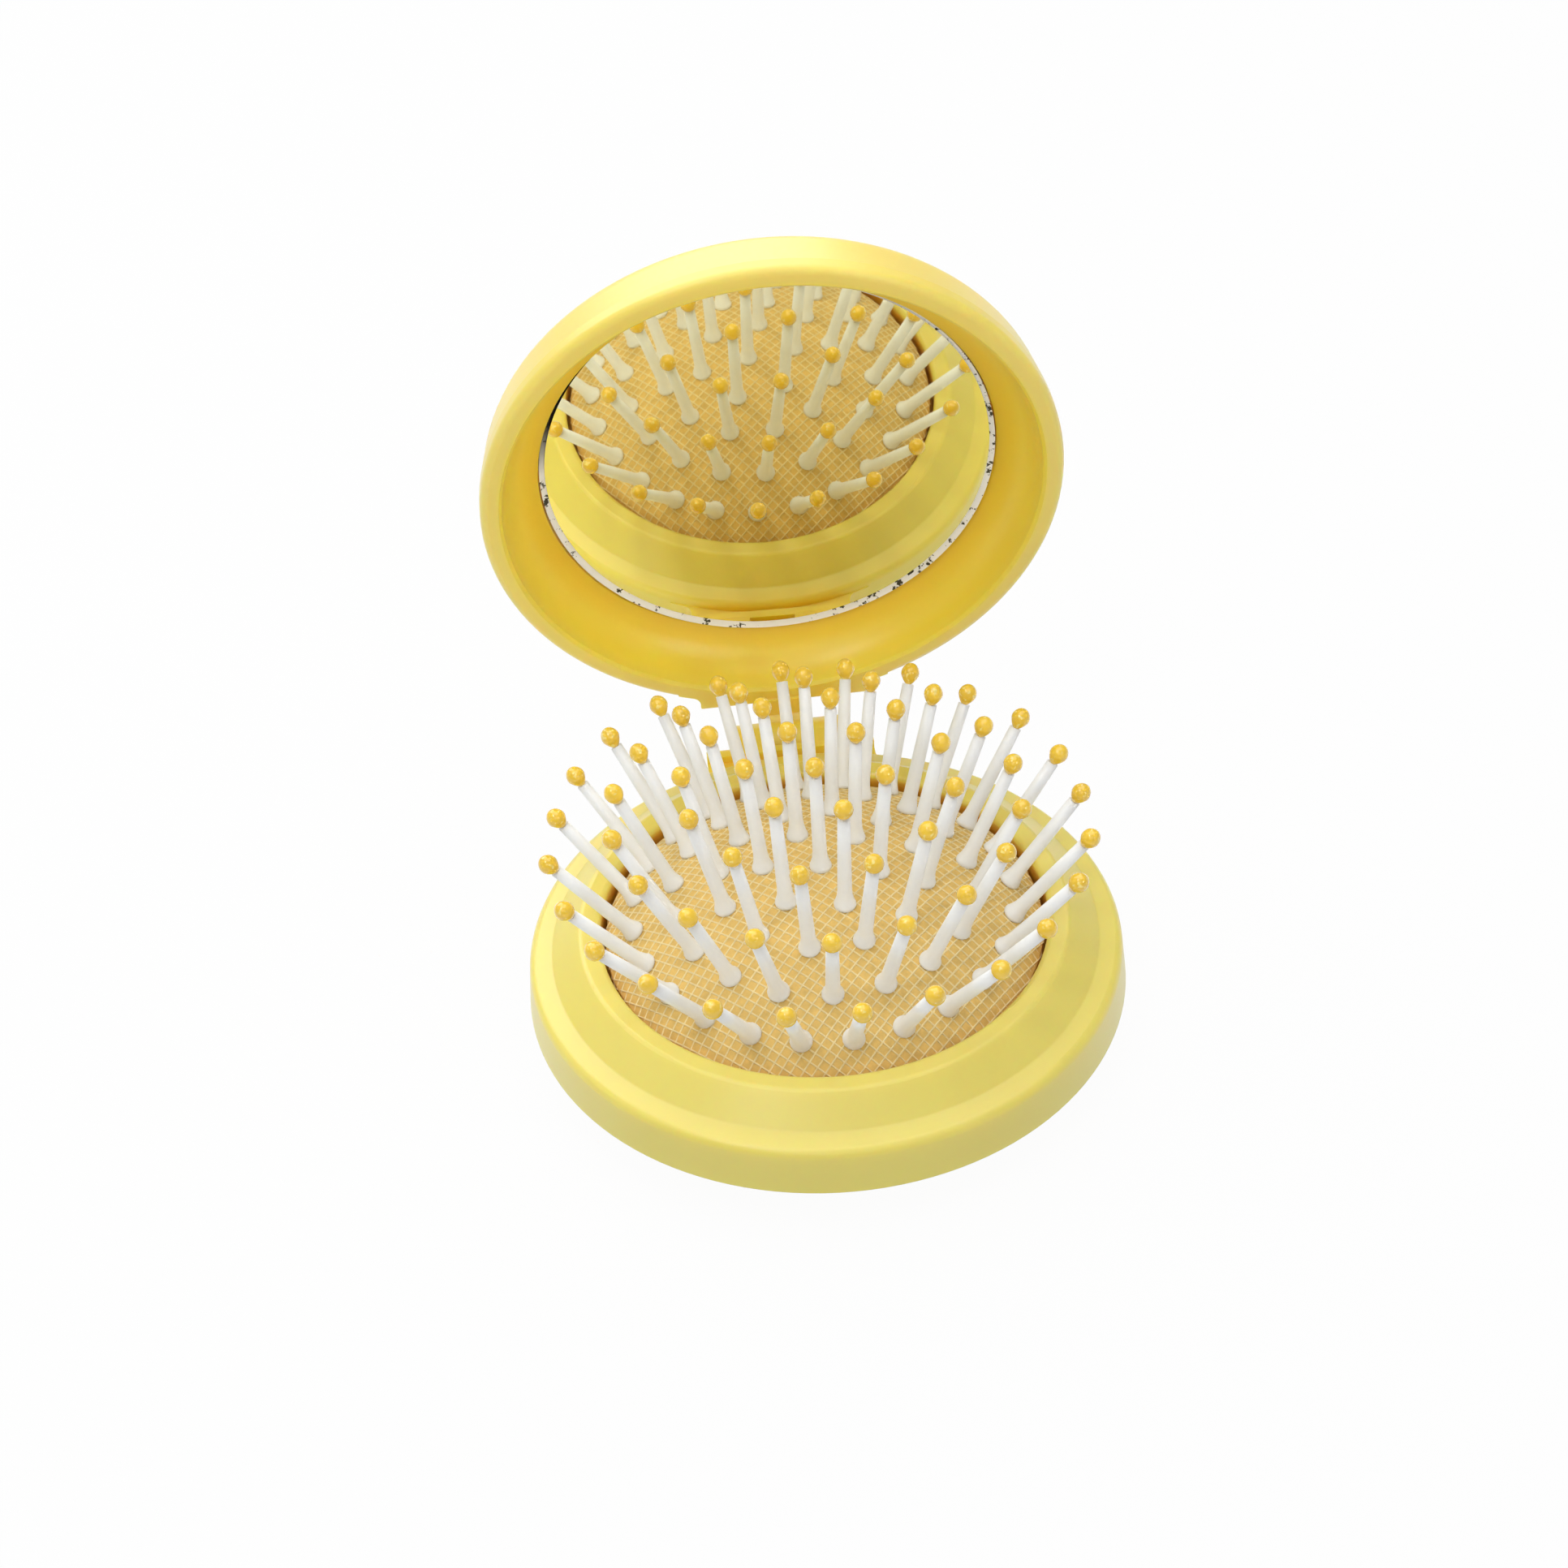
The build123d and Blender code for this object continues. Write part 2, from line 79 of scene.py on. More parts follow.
shade = {
    "shell": (0.93, 0.73, 0.14),
    "bowl": (1.0, 0.75, 0.030),         # painted glow: light that goes round inside the lid, painted into its colour
    "bowlFoot": (0.97, 0.60, 0.010),    # painted glow and shade, strongest beside the mirror
    "paintedGapShade": (0.80, 0.42, 0.030),        # painted shade in the narrow gap round the cushion
    "knuckle": (1.0, 0.70, 0.070),      # painted warm glow at the hinge, between the lid and the base
    "pin": (0.94, 0.97, 1.0),
    "ball": (0.96, 0.60, 0.03),
    "paintedGlint": (1.0, 0.80, 0.22),         # painted glints: small bright highlight spots painted on the lacquer of the balls
    "rubber": (0.75, 0.36, 0.03),
    "facing": (0.76, 0.50, 0.14),
    "thread": (0.92, 0.74, 0.38),
    "innerPlastic": (0.80, 0.66, 0.18),
    "steel": (0.60, 0.60, 0.61),
    "silver": (0.97, 0.94, 0.68),       # the glass tints what it shows
    "edge": (1.0, 1.0, 1.0),
    "fleck": (0.05, 0.05, 0.04),
    "paintedEdgeShade": (0.02, 0.02, 0.02),          # painted shade on the glass's cut edge, where the glass lies deep
    "tape": (0.78, 0.78, 0.77),
}


# small tools
def deselectAll():
    if bpy.context.object and bpy.context.object.mode != "OBJECT":
        bpy.ops.object.mode_set(mode="OBJECT")
    bpy.ops.object.select_all(action="DESELECT")


def makeActive(piece):
    deselectAll()
    piece.select_set(True)
    bpy.context.view_layer.objects.active = piece


def domeHeight(radius):
    return brush["domeTop"] - brush["domeRadius"] + math.sqrt(brush["domeRadius"] ** 2 - radius ** 2)


def turnedPiece(name, profile, sides):
    # the profile is (height, radius) pairs from the foot up
    deselectAll()
    height, radius = profile[0]
    bpy.ops.mesh.primitive_circle_add(vertices=sides, radius=radius, fill_type="NGON")
    piece = bpy.context.object
    piece.name = piece.data.name = name
    bpy.ops.object.mode_set(mode="EDIT")
    bpy.ops.mesh.select_all(action="SELECT")
    bpy.ops.transform.translate(value=(0, 0, height))
    for nextHeight, nextRadius in profile[1:]:
        step = (0, 0, nextHeight - height)
        bpy.ops.mesh.extrude_region_move(TRANSFORM_OT_translate={"value": step})
        grow = nextRadius / radius
        bpy.ops.transform.resize(value=(grow, grow, 1))
        height, radius = nextHeight, nextRadius
    bpy.ops.mesh.select_all(action="SELECT")
    bpy.ops.mesh.normals_make_consistent(inside=False)
    bpy.ops.object.mode_set(mode="OBJECT")
    bpy.ops.object.shade_smooth()
    return piece


def copyTo(source, name, place):
    piece = source.copy()
    piece.data = source.data.copy()
    piece.name = piece.data.name = name
    bpy.context.scene.collection.objects.link(piece)
    piece.data.transform(place)
    return piece


def joinAs(pieces, name):
    deselectAll()
    for piece in pieces:
        piece.select_set(True)
    bpy.context.view_layer.objects.active = pieces[0]
    if len(pieces) > 1:
        bpy.ops.object.join()
    joined = bpy.context.object
    joined.name = joined.data.name = name
    return joined


def dressed(piece, material):
    piece.data.materials.clear()
    piece.data.materials.append(material)
    return piece


# finishes
def newMaterial(name, color, roughness, settings=None):
    material = bpy.data.materials.new(name)
    material.use_nodes = True
    shader = material.node_tree.nodes["Principled BSDF"]
    shader.inputs["Base Color"].default_value = (*color, 1)
    shader.inputs["Roughness"].default_value = roughness
    for label, value in (settings or {}).items():
        shader.inputs[label].default_value = value
    return material, material.node_tree, shader


def objectNoise(tree, scale, detail=2.0, rough=0.5):
    place = tree.nodes.new("ShaderNodeTexCoord")
    noise = tree.nodes.new("ShaderNodeTexNoise")
    noise.inputs["Scale"].default_value = scale
    noise.inputs["Detail"].default_value = detail
    noise.inputs["Roughness"].default_value = rough
    tree.links.new(place.outputs["Object"], noise.inputs["Vector"])
    return noise


def addBump(tree, shader, height, strength, distance):
    bump = tree.nodes.new("ShaderNodeBump")
    bump.inputs["Strength"].default_value = strength
    bump.inputs["Distance"].default_value = distance
    tree.links.new(height, bump.inputs["Height"])
    tree.links.new(bump.outputs["Normal"], shader.inputs["Normal"])


def rampOver(tree, value, stops):
    ramp = tree.nodes.new("ShaderNodeValToRGB")
    ramp.color_ramp.elements[0].position = stops[0][0]
    ramp.color_ramp.elements[0].color = (*stops[0][1], 1)
    ramp.color_ramp.elements[1].position = stops[-1][0]
    ramp.color_ramp.elements[1].color = (*stops[-1][1], 1)
    for position, color in stops[1:-1]:
        ramp.color_ramp.elements.new(position).color = (*color, 1)
    tree.links.new(value, ramp.inputs["Fac"])
    return ramp


def mixed(tree, amount, first, second, kind="MIX"):
    mix = tree.nodes.new("ShaderNodeMix")
    mix.data_type = "RGBA"
    mix.blend_type = kind
    for socket, value in ((mix.inputs[0], amount), (mix.inputs[6], first), (mix.inputs[7], second)):
        if isinstance(value, bpy.types.NodeSocket):
            tree.links.new(value, socket)
        elif isinstance(value, tuple):
            socket.default_value = (*value, 1)
        else:
            socket.default_value = value
    return mix.outputs[2]


def mathNode(tree, operation, *values):
    node = tree.nodes.new("ShaderNodeMath")
    node.operation = operation
    for socket, value in zip(node.inputs, values):
        if isinstance(value, bpy.types.NodeSocket):
            tree.links.new(value, socket)
        else:
            socket.default_value = value
    return node.outputs[0]


def grey(tone):
    return (tone, tone, tone)


def lighter(color, share):
    return tuple(min(1.0, channel * share) for channel in color)


def aroundAxis(tree, origin, axis):
    # distance from an axis, and height along it, of every point of the surface
    place = tree.nodes.new("ShaderNodeTexCoord")
    reach = tree.nodes.new("ShaderNodeVectorMath")
    reach.operation = "SUBTRACT"
    reach.inputs[1].default_value = origin
    tree.links.new(place.outputs["Object"], reach.inputs[0])
    across = tree.nodes.new("ShaderNodeVectorMath")
    across.operation = "CROSS_PRODUCT"
    along = tree.nodes.new("ShaderNodeVectorMath")
    along.operation = "DOT_PRODUCT"
    for node in (across, along):
        tree.links.new(reach.outputs[0], node.inputs[0])
        node.inputs[1].default_value = axis
    distance = tree.nodes.new("ShaderNodeVectorMath")
    distance.operation = "LENGTH"
    tree.links.new(across.outputs[0], distance.inputs[0])
    return distance.outputs["Value"], along.outputs["Value"]


def shareBetween(tree, value, start, end):
    # 0 at the start and 1 at the end
    share = tree.nodes.new("ShaderNodeMapRange")
    share.inputs["From Min"].default_value = start
    share.inputs["From Max"].default_value = end
    tree.links.new(value, share.inputs["Value"])
    return share.outputs["Result"]


# satin plastic that light sinks into
plastic = {
    "glow": {"Subsurface Weight": 0.6, "Subsurface Scale": 4.0 * mm, "Subsurface Radius": (1.0, 0.6, 0.1),
             "Specular IOR Level": 0.5, "Coat Weight": 0.9, "Coat Roughness": 0.4},
    "roughness": 0.38,
    "polished": -0.05,          # roughness of the smoothest and the dullest grain, against the rest
    "dull": 0.07,
    "clouds": 90,               # scale of the soft clouds of tone
    "cloudTone": 0.96,
    "grain": 2600,
    "grainDepth": 0.06 * mm,
    "grainStrength": 0.12,
}

# where painted light goes into the shells' colour: painted glow in the lid's bowl and at the hinge, painted
# shade in the gap round the cushion; each pair is where it starts and where it ends
paintedLightZones = {
    "bowl": (28.0 * mm, 36.0 * mm),         # distances from the lid's axis
    "bowlStops": (0.02, 0.38, 0.58, 0.72),  # painted glow at the foot, in the bowl and at the bowl's end, then plain shell along that way
    "paintedBowlGlowHeights": (18.8 * mm, 19.6 * mm),      # heights in the shut lid, plain above them
    "paintedGapShadeTop": (13.9 * mm, 12.9 * mm),      # heights in the gap round the cushion
    "paintedGapShadeSide": (27.2 * mm, 26.7 * mm),     # distances from the brush's axis
    "paintedHingeGlowRound": (8.5 * mm, 5.5 * mm),     # distances from the hinge's axis
    "paintedHingeGlowFront": (2.5 * mm, -0.5 * mm),    # distances behind the hinge's axis
}


def mouldedPlastic(name, color, roughness=plastic["roughness"], paintLight=None):
    material, tree, shader = newMaterial(name, color, roughness, plastic["glow"])
    cloud = objectNoise(tree, plastic["clouds"], 3)
    tone = rampOver(tree, cloud.outputs["Fac"], [(0.3, grey(plastic["cloudTone"])), (0.7, grey(1.0))])
    # where a shell has painted light, its painted glow and shade go into the colour here
    tint = paintLight(tree, color) if paintLight else color
    toned = mixed(tree, 1.0, tint, tone.outputs["Color"], "MULTIPLY")
    tree.links.new(toned, shader.inputs["Base Color"])
    grain = objectNoise(tree, plastic["grain"], 2, 0.6)
    polish = rampOver(tree, grain.outputs["Fac"], [
        (0.2, grey(roughness + plastic["polished"])), (0.8, grey(roughness + plastic["dull"]))])
    tree.links.new(polish.outputs["Color"], shader.inputs["Roughness"])
    addBump(tree, shader, grain.outputs["Fac"], plastic["grainStrength"], plastic["grainDepth"])
    return material


def paintedGlowAtHinge(tree, color):
    # painted warm glow on the shells near the hinge's axis and in front of it
    origin = Vector(lid["hinge"])
    distance, _ = aroundAxis(tree, origin, (1, 0, 0))
    near = shareBetween(tree, distance, *paintedLightZones["paintedHingeGlowRound"])
    _, depth = aroundAxis(tree, origin, (0, 1, 0))
    inFront = shareBetween(tree, depth, *paintedLightZones["paintedHingeGlowFront"])
    return mixed(tree, mathNode(tree, "MULTIPLY", near, inFront), color, shade["knuckle"])


def paintedLightInLid(tree, color):
    # painted warm glow in the lid's bowl, standing in for light bounced round inside the lid, and the
    # painted glow at the hinge
    axes = openLid()
    distance, height = aroundAxis(tree, axes @ Vector((0, 0, 0)), axes.to_3x3() @ Vector((0, 0, 1)))
    ring = shareBetween(tree, distance, *paintedLightZones["bowl"])
    paintedGlowColors = (shade["bowlFoot"], shade["bowl"], shade["bowl"], color)
    tone = rampOver(tree, ring, list(zip(paintedLightZones["bowlStops"], paintedGlowColors)))
    behind = shareBetween(tree, height, *paintedLightZones["paintedBowlGlowHeights"])
    return paintedGlowAtHinge(tree, mixed(tree, behind, tone.outputs["Color"], color))


def paintedLightInMouth(tree, color):
    # painted shade in the gap round the cushion, and the painted glow at the hinge
    distance, height = aroundAxis(tree, (0, 0, 0), (0, 0, 1))
    below = shareBetween(tree, height, *paintedLightZones["paintedGapShadeTop"])
    within = shareBetween(tree, distance, *paintedLightZones["paintedGapShadeSide"])
    inside = mathNode(tree, "MULTIPLY", below, within)
    return paintedGlowAtHinge(tree, mixed(tree, inside, color, shade["paintedGapShade"]))


# camera, floor and light
camera = {
    "azimuth": -3.792,
    "elevation": 38.961,
    "roll": -3.966,
    "distance": 290.03 * mm,
    "slide": (-3.77 * mm, 13.111 * mm),   # to the right and up, across the view
    "centre": 17.445 * mm,                # height that the view turns about
    "lens": 56.47,
    "shift": (0.0009, 0.0002),
}
stage = {
    "floor": (0.65, 0.65, 0.65),
    "world": 0.38,
    "worldTint": (0.97, 0.985, 1.0),
    "floorSize": 6,
    "floorGlow": 0.96,      # share of the floor that the camera sees as plain white
    "snootSpread": 14,      # degrees
}

# place, aim, width, height, power and colour of each lamp
lamps = {
    "overheadSoftbox": ((0.0, 0.05, 0.80), (0, 0.01, 0.03), 0.9, 0.7, 3.1, (1, 1, 1)),
    "backSoftbox": ((-0.25, 0.85, 0.75), (0, 0.0, 0.03), 1.3, 0.8, 7.5, (1, 1, 1)),
    "leftSoftbox": ((-0.75, 0.0, 0.4), (0, 0, 0.03), 0.5, 0.5, 0.4, (0.88, 1.0, 0.85)),
    "rightFill": ((0.8, -0.1, 0.4), (0, 0, 0.03), 0.5, 0.5, 0.15, (1.0, 0.93, 0.86)),
    "frontFill": ((-0.1, -0.65, 0.55), (0, 0.02, 0.04), 0.6, 0.4, 0.7, (1, 1, 1)),
    "sparkle": ((-0.25, -0.25, 0.60), (0, 0, 0.03), 0.12, 0.12, 0.5, (1, 1, 1)),  # glints on the balls
    # narrow beam on the inside of the lid
    "lidSnoot": ((0.30, -0.42, 0.30), (-0.015, 0.04, 0.056), 0.10, 0.10, 0.006, (1.0, 0.95, 0.88)),
}


def setCamera():
    turn = math.radians(camera["azimuth"])
    rise = math.radians(camera["elevation"])
    roll = math.radians(camera["roll"])
    back = Vector((math.sin(turn) * math.cos(rise), -math.cos(turn) * math.cos(rise), math.sin(rise)))
    right = Vector((math.cos(turn), math.sin(turn), 0))
    up = back.cross(right)
    rolledRight = right * math.cos(roll) + up * math.sin(roll)
    rolledUp = up * math.cos(roll) - right * math.sin(roll)
    slideRight, slideUp = camera["slide"]
    place = back * camera["distance"] + right * slideRight + up * slideUp + Vector((0, 0, camera["centre"]))
    data = bpy.data.cameras.new("viewCamera")
    data.lens = camera["lens"]
    data.sensor_width = 36
    data.shift_x, data.shift_y = camera["shift"]
    data.clip_start = 0.01
    view = bpy.data.objects.new("viewCamera", data)
    bpy.context.scene.collection.objects.link(view)
    axes = Matrix((rolledRight, rolledUp, back)).transposed().to_4x4()
    view.matrix_world = Matrix.Translation(place) @ axes
    bpy.context.scene.camera = view


def softLamp(name, place, aim, width, height, power, color):
    data = bpy.data.lights.new(name, "AREA")
    data.shape = "RECTANGLE"
    data.size = width
    data.size_y = height
    data.energy = power
    data.color = color
    lamp = bpy.data.objects.new(name, data)
    bpy.context.scene.collection.objects.link(lamp)
    lamp.location = place
    direction = Vector(aim) - Vector(place)
    lamp.rotation_euler = direction.to_track_quat("-Z", "Y").to_euler()


def buildFloor():
    deselectAll()
    bpy.ops.mesh.primitive_plane_add(size=stage["floorSize"])
    floor = bpy.context.object
    floor.name = "floor"
    material, tree, shader = newMaterial("paleFloor", stage["floor"], 0.8)
    rays = tree.nodes.new("ShaderNodeLightPath")
    mirrored = mathNode(tree, "MAXIMUM", rays.outputs["Is Glossy Ray"], rays.outputs["Is Transmission Ray"])
    seen = mathNode(tree, "MAXIMUM", rays.outputs["Is Camera Ray"], mirrored)
    glow = tree.nodes.new("ShaderNodeEmission")
    glow.inputs["Color"].default_value = (1, 1, 1, 1)
    glow.inputs["Strength"].default_value = 1.0
    both = tree.nodes.new("ShaderNodeMixShader")
    tree.links.new(mathNode(tree, "MULTIPLY", seen, stage["floorGlow"]), both.inputs[0])
    tree.links.new(shader.outputs[0], both.inputs[1])
    tree.links.new(glow.outputs[0], both.inputs[2])
    tree.links.new(both.outputs[0], tree.nodes["Material Output"].inputs["Surface"])
    dressed(floor, material)


def buildWorld():
    # soft light all round, behind a background that the camera sees as plain white
    world = bpy.data.worlds.new("softWorld")
    world.use_nodes = True
    bpy.context.scene.world = world
    tree = world.node_tree
    light = tree.nodes["Background"]
    light.inputs["Color"].default_value = (*stage["worldTint"], 1)
    light.inputs["Strength"].default_value = stage["world"]
    plain = tree.nodes.new("ShaderNodeBackground")
    plain.inputs["Color"].default_value = (1, 1, 1, 1)
    plain.inputs["Strength"].default_value = 1.0
    rays = tree.nodes.new("ShaderNodeLightPath")
    both = tree.nodes.new("ShaderNodeMixShader")
    tree.links.new(rays.outputs["Is Camera Ray"], both.inputs[0])
    tree.links.new(light.outputs[0], both.inputs[1])
    tree.links.new(plain.outputs[0], both.inputs[2])
    tree.links.new(both.outputs[0], tree.nodes["World Output"].inputs["Surface"])


def buildStage():
    buildFloor()
    buildWorld()
    for name, values in lamps.items():
        softLamp(name, *values)
    bpy.data.lights["lidSnoot"].spread = math.radians(stage["snootSpread"])
    print("stage ready, lamps:", len(lamps))


# pins and their balls
pinShape = {
    "sides": 16,
    # height share and radius along the shaft
    "shaft": ((0.0, 1.24), (0.01, 1.31), (0.03, 1.31), (0.045, 1.22), (0.075, 1.08),
              (0.12, 0.93), (0.18, 0.86), (0.6, 0.8), (0.985, 0.72)),
    "ballRadius": 1.16 * mm,
    "ballLength": 1.38 * mm,   # half the length of the dipped drop
    "ballTaper": 0.34,         # share of its width that it loses towards the shaft
    "ballSink": 0.35 * mm,
    "ballRows": 11,
    "ballStart": 0.06,         # share of a half turn where the outline starts, and its sweep
    "ballSweep": 0.90,
    "lengthSpread": 0.02,
    "leanSpread": 1.2,         # degrees
    "rollSpread": 6.283,       # radians
    "pressed": (0.25, 0.25, 0.25, 0.25, 0.12),   # height that each ring keeps when the lid is shut on it
}


def ballProfile():
    # an egg, round at the tip and drawn in towards the shaft
    profile = []
    for row in range(pinShape["ballRows"] + 1):
        angle = math.pi * (pinShape["ballStart"] + pinShape["ballSweep"] * row / pinShape["ballRows"])
        along = -math.cos(angle)
        egg = 1.0 - pinShape["ballTaper"] * max(0.0, -along)
        radius = pinShape["ballRadius"] * math.sin(angle) * egg
        profile.append((pinShape["ballLength"] * (1 + along), radius))
    return profile


def pinPlace(ring, number, chance):
    count = brush["pinsInRing"][ring]
    lean = math.radians(brush["pinLean"][ring] + chance.uniform(-1, 1) * pinShape["leanSpread"])
    angle = math.radians(brush["firstPin"][ring] + 360 * number / count)
    outwards = Vector((math.sin(angle), -math.cos(angle), 0))
    along = outwards * math.sin(lean) + Vector((0, 0, 1)) * math.cos(lean)
    sideways = Vector((math.cos(angle), math.sin(angle), 0))
    root = brush["rootRadius"][ring]
    foot = outwards * root + Vector((0, 0, domeHeight(root)))
    axes = Matrix((sideways, along.cross(sideways), along)).transposed().to_4x4()
    return Matrix.Translation(foot) @ axes


def buildPins(nylon, lacquer):
    length = brush["pinLength"]
    outline = [(share * length, radius * mm) for share, radius in pinShape["shaft"]]
    shaft = turnedPiece("pin", outline, pinShape["sides"])
    ball = turnedPiece("ball", ballProfile(), pinShape["sides"])
    ball.data.transform(Matrix.Translation((0, 0, length - pinShape["ballSink"])))
    chance = random.Random(7)
    for ring, count in enumerate(brush["pinsInRing"]):
        shafts, balls = [], []
        for number in range(count):
            place = pinPlace(ring, number, chance)
            stretch = Matrix.Diagonal((1, 1, 1 + chance.uniform(-1, 1) * pinShape["lengthSpread"], 1))
            roll = Matrix.Rotation(chance.uniform(0, pinShape["rollSpread"]), 4, "Z")
            shafts.append(copyTo(shaft, "shaft", place @ stretch @ roll))
            balls.append(copyTo(ball, "ballCopy", place @ stretch @ roll))
        body = "button" if ring == 0 else f"pin_ring_{ring}"
        for pieces, name, node, material, slot in (
                (shafts, f"nylon_pins_{ring}", f"pins_ring_{ring}", nylon, "pin_nylon"),
                (balls, f"dipped_balls_{ring}", f"ball_tips_ring_{ring}", lacquer, "ball_tip")):
            piece = dressed(joinAs(pieces, name), material)
            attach(piece, body)
            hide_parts(node)
            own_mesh(piece)
    for source in (shaft, ball):
        bpy.data.objects.remove(source)
    print("pins with their balls:", sum(brush["pinsInRing"]))


# woven net that faces the rubber dome
net = {
    "pitch": 1.15 * mm,
    "thread": 0.34 * mm,
    "turn": 47.0,          # degrees of the weave against the front
    "jitter": 0.05,        # share of the pitch
    "cells": 52,
    "wrap": 0.9 * mm,      # how far the net runs down the skirt
    "flatness": 0.7,       # threads are flatter than they are wide
}


def domeArc():
    return brush["domeRadius"] * math.asin(brush["domeEdge"] / brush["domeRadius"])


def shoulderSlope():
    return math.hypot(brush["shoulderRun"], brush["shoulderDrop"])


def laidOver(along, lift):
    # radius and height on the pad, at a length measured out from its middle
    radius = brush["domeRadius"]
    edgeTurn = math.asin(brush["domeEdge"] / radius)
    turn = min(along / radius, edgeTurn)
    outwards, upwards = math.sin(turn), math.cos(turn)
    flat, height = radius * outwards, brush["domeTop"] - radius * (1 - upwards)
    rest = along - edgeTurn * radius
    if rest > 0:
        slope = shoulderSlope()
        share = min(rest / slope, 1)
        flat += brush["shoulderRun"] * share
        height -= brush["shoulderDrop"] * share
        outwards, upwards = brush["shoulderFacing"]
        if rest > slope:
            height -= rest - slope
            outwards, upwards = 1, 0
    return flat + lift * outwards, height + lift * upwards


def buildNet(threadMaterial):
    deselectAll()
    half = net["cells"] * net["pitch"] / 2
    bpy.ops.mesh.primitive_grid_add(x_subdivisions=net["cells"], y_subdivisions=net["cells"], size=2 * half)
    piece = bpy.context.object
    piece.name = piece.data.name = "woven_net"
    chance = random.Random(11)
    shifts = [[chance.uniform(-1, 1) * net["jitter"] * net["pitch"] for _ in range(net["cells"] + 1)]
              for _ in range(2)]
    mesh = piece.data
    for vertex in mesh.vertices:
        column = round((vertex.co.x + half) / net["pitch"])
        row = round((vertex.co.y + half) / net["pitch"])
        vertex.co.x += shifts[0][column]
        vertex.co.y += shifts[1][row]
    mesh.transform(Matrix.Rotation(math.radians(net["turn"]), 4, "Z"))
    edge = domeArc() + shoulderSlope() + net["wrap"]
    makeActive(piece)
    bpy.ops.object.mode_set(mode="EDIT")
    bpy.ops.mesh.select_all(action="DESELECT")
    bpy.ops.object.mode_set(mode="OBJECT")
    for vertex in mesh.vertices:
        vertex.select = vertex.co.xy.length > edge
    bpy.ops.object.mode_set(mode="EDIT")
    bpy.ops.mesh.delete(type="VERT")
    bpy.ops.object.mode_set(mode="OBJECT")
    wire = piece.modifiers.new("threads", "WIREFRAME")
    wire.thickness = net["thread"]
    wire.use_replace = True
    wire.use_even_offset = False
    bpy.ops.object.modifier_apply(modifier="threads")
    for vertex in mesh.vertices:
        along = vertex.co.xy.length
        flat, height = laidOver(along, net["flatness"] * vertex.co.z)
        grow = flat / max(along, 1e-6)
        vertex.co = (vertex.co.x * grow, vertex.co.y * grow, height)
    bpy.ops.object.shade_smooth()
    dressed(piece, threadMaterial)
    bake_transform(piece)
    print("faces in the net:", len(mesh.polygons))


# the rubber dome, and the cloth bonded to it that the net lies on
pad = {
    "rings": 28,
    "sides": 128,
    "middle": 0.3 * mm,           # radius of the small faces that close the middle
    "clothThickness": 0.06 * mm,
    "clothWrap": 1.5 * mm,
    "rubberOuter": 0.25 * mm,     # how deep the rubber's two faces lie under the cloth
    "rubberInner": 1.25 * mm,
    "skirtRadius": 24.8 * mm,     # inside of the skirt
    "flangeTop": 9.2 * mm,
    "flangeFoot": 8.1 * mm,
    "flangeRadius": 30.0 * mm,
    "turnsEarly": 1.55 * mm,      # the rubber keeps under the cloth when the dome is turned inside out
}


def padRows(reach, lift):
    # height and radius of rows from the middle of the pad out to a reach along it
    rows = []
    for number in range(pad["rings"] + 1):
        along = pad["middle"] + (reach - pad["middle"]) * number / pad["rings"]
        radius, height = laidOver(along, lift)
        rows.append((height, radius))
    return rows


def bendPiece(piece, material, node):
    dressed(piece, material)
    makeActive(piece)
    bpy.ops.object.shade_smooth_by_angle(angle=math.radians(40))
    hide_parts(node)
    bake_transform(piece)


def buildPad(rubber, cloth):
    corner = domeArc() + shoulderSlope()
    faces = []
    for lift in (-pad["clothThickness"], 0.0):
        face = padRows(domeArc(), lift)
        for along in (corner, corner + pad["clothWrap"]):
            radius, height = laidOver(along, lift)
            face.append((height, radius))
        faces.append(face)
    under, over = faces
    facing = turnedPiece("facing_cloth", under + over[::-1], pad["sides"])
    bendPiece(facing, cloth, "pad_facing")

    inner = pad["rubberInner"]
    innerArc = brush["domeRadius"] * math.asin(pad["skirtRadius"] / (brush["domeRadius"] - inner))
    radius, height = laidOver(corner, -pad["rubberOuter"])
    profile = padRows(innerArc, -inner)
    profile += [(pad["flangeFoot"], pad["skirtRadius"]), (pad["flangeFoot"], pad["flangeRadius"]),
                (pad["flangeTop"], pad["flangeRadius"]), (pad["flangeTop"], radius), (height, radius)]
    profile += padRows(domeArc(), -pad["rubberOuter"])[::-1]
    dome = turnedPiece("rubber_dome", profile, pad["sides"])
    bendPiece(dome, rubber, "cushion_pad")
    print("faces in the pad:", len(facing.data.polygons) + len(dome.data.polygons))


# mirror: silvered glass with a cut edge that catches the light
mirror = {
    "sides": 128,
    "edgeWidth": 0.75 * mm,
    "edgeDepth": 0.3 * mm,
    "arris": 0.05 * mm,        # tiny chamfer at the rim
    "edgeSlant": 0.03 * mm,
    "wear": 0.045,             # how much further the silver is worn on the right
    "wearAcross": (3.0 * mm, 16.0 * mm),   # to the right of the middle, where that wear sets in
    "darkFrom": (80.0 * mm, 86.0 * mm),    # where the painted shade on the cut edge starts and ends, by height less the distance to the right
    "flecks": 700,             # scale of the worn spots in the edge's silver
    "offCentre": 0.5 * mm,     # the edge is cut wider towards the hinge
    "seat": 0.1 * mm,          # the glass is pressed in deeper than flush by this much
    "skew": (-0.017, -0.021),  # it lies askew: deeper at the left and at the top of the open lid
}


def openLid():
    # turns what is built as if the lid were shut to where the lid stands open
    hinge = Vector(lid["hinge"])
    turn = Matrix.Rotation(math.radians(-lid["opening"]), 4, "X")
    return Matrix.Translation(hinge) @ turn @ Matrix.Translation(-hinge)


